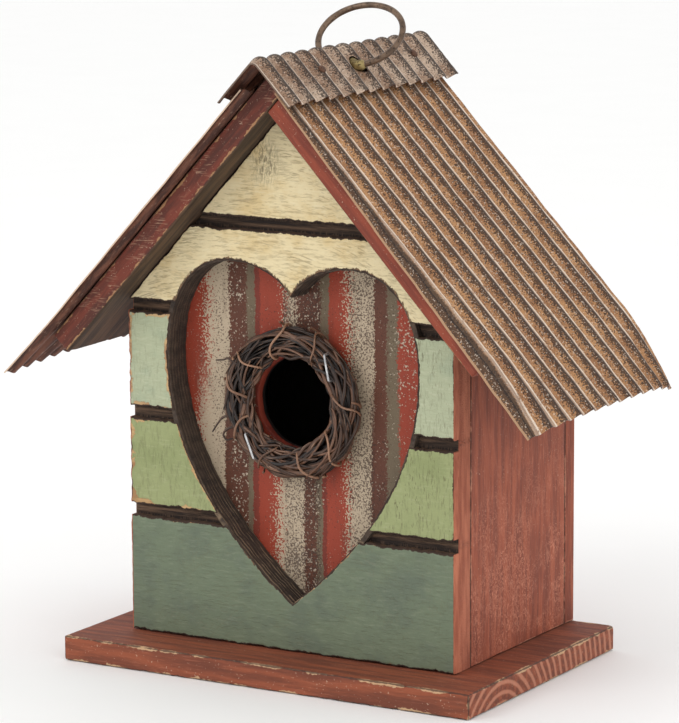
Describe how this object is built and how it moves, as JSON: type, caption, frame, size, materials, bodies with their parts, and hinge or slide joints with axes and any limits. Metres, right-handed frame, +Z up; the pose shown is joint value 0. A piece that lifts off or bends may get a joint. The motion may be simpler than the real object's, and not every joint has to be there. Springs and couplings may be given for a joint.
{
  "type": "birdhouse",
  "caption": "Rustic gabled birdhouse on a wide base, with a heart cut-out over a striped panel, a twig wreath at the entrance, a corrugated tin roof and a wire hanging ring.",
  "frame": {"origin": "centre of the base's underside", "axes": "+Z up, the front with the heart faces -Y, +X to the right when facing the front"},
  "size_m": [0.2489, 0.1319, 0.2644],
  "materials": {
    "base_wood": "matt worn red-brown paint",
    "planks": "matt chalky paint in cream and greens, sanded edges",
    "stripes": "matt painted stripes, sanded",
    "red_wood": "matt red stain over grain",
    "roof_wood": "matt worn red paint",
    "cover_wood": "matt red stain",
    "tin": "matt rust-brown patina",
    "cap_tin": "matt grey-tan patina",
    "ring_wire": "aged brown wire",
    "sleeve_brass": "dull olive brass",
    "twig": "dry dark bark",
    "vine": "dry tan vine",
    "staple_wire": "bright",
    "steel": "dull",
    "rusty_nail": "rusted"
  },
  "bodies": {
    "house": {"base": "base_wood", "front_board": "planks", "striped_panel": "stripes", "side_left": "red_wood", "side_right": "red_wood", "back_board": "red_wood", "roof_board_left": "roof_wood", "roof_board_right": "roof_wood", "roof_sheet_left": "tin", "roof_sheet_right": "tin", "ridge_cap": "cap_tin", "cover_screw": "steel", "wreath_strand_0": "twig", "wreath_strand_1": "twig", "wreath_strand_2": "twig", "wreath_strand_3": "twig", "wreath_strand_4": "twig", "wreath_strand_5": "twig", "wreath_strand_6": "twig", "wreath_wrap_0": "vine", "wreath_wrap_1": "vine", "wreath_wrap_2": "vine", "wreath_wrap_3": "vine", "wreath_wrap_4": "vine", "wreath_wrap_5": "vine", "wreath_wrap_6": "vine", "wreath_wrap_7": "vine", "wreath_wrap_8": "vine", "wreath_sprig_0": "twig", "wreath_sprig_1": "twig", "wreath_sprig_2": "twig", "wreath_staple_0": "staple_wire", "wreath_staple_1": "staple_wire", "base_screw_0": "steel", "base_screw_1": "steel", "base_screw_2": "steel", "base_screw_3": "steel", "back_nail_0": "steel", "back_nail_1": "steel", "back_nail_2": "steel", "back_nail_3": "steel", "back_nail_4": "steel", "back_nail_5": "steel", "cap_nail_0": "rusty_nail", "cap_nail_1": "rusty_nail", "cap_nail_2": "rusty_nail", "cap_nail_3": "rusty_nail"},
    "ring": {"hanging_ring": "ring_wire", "ring_sleeve": "sleeve_brass"},
    "cover": {"clean_out_cover": "cover_wood"}
  },
  "joints": [
    {"name": "ring_swing", "type": "hinge", "parent": "house", "child": "ring", "pos_m": [0, 0.004, 0.2435], "axis": [1, 0, 0], "range_deg": [0, 44]},
    {"name": "cover_swing", "type": "hinge", "parent": "house", "child": "cover", "pos_m": [0, 0.062, 0.09], "axis": [0, 1, 0], "range_deg": [-120, 120]}
  ]
}
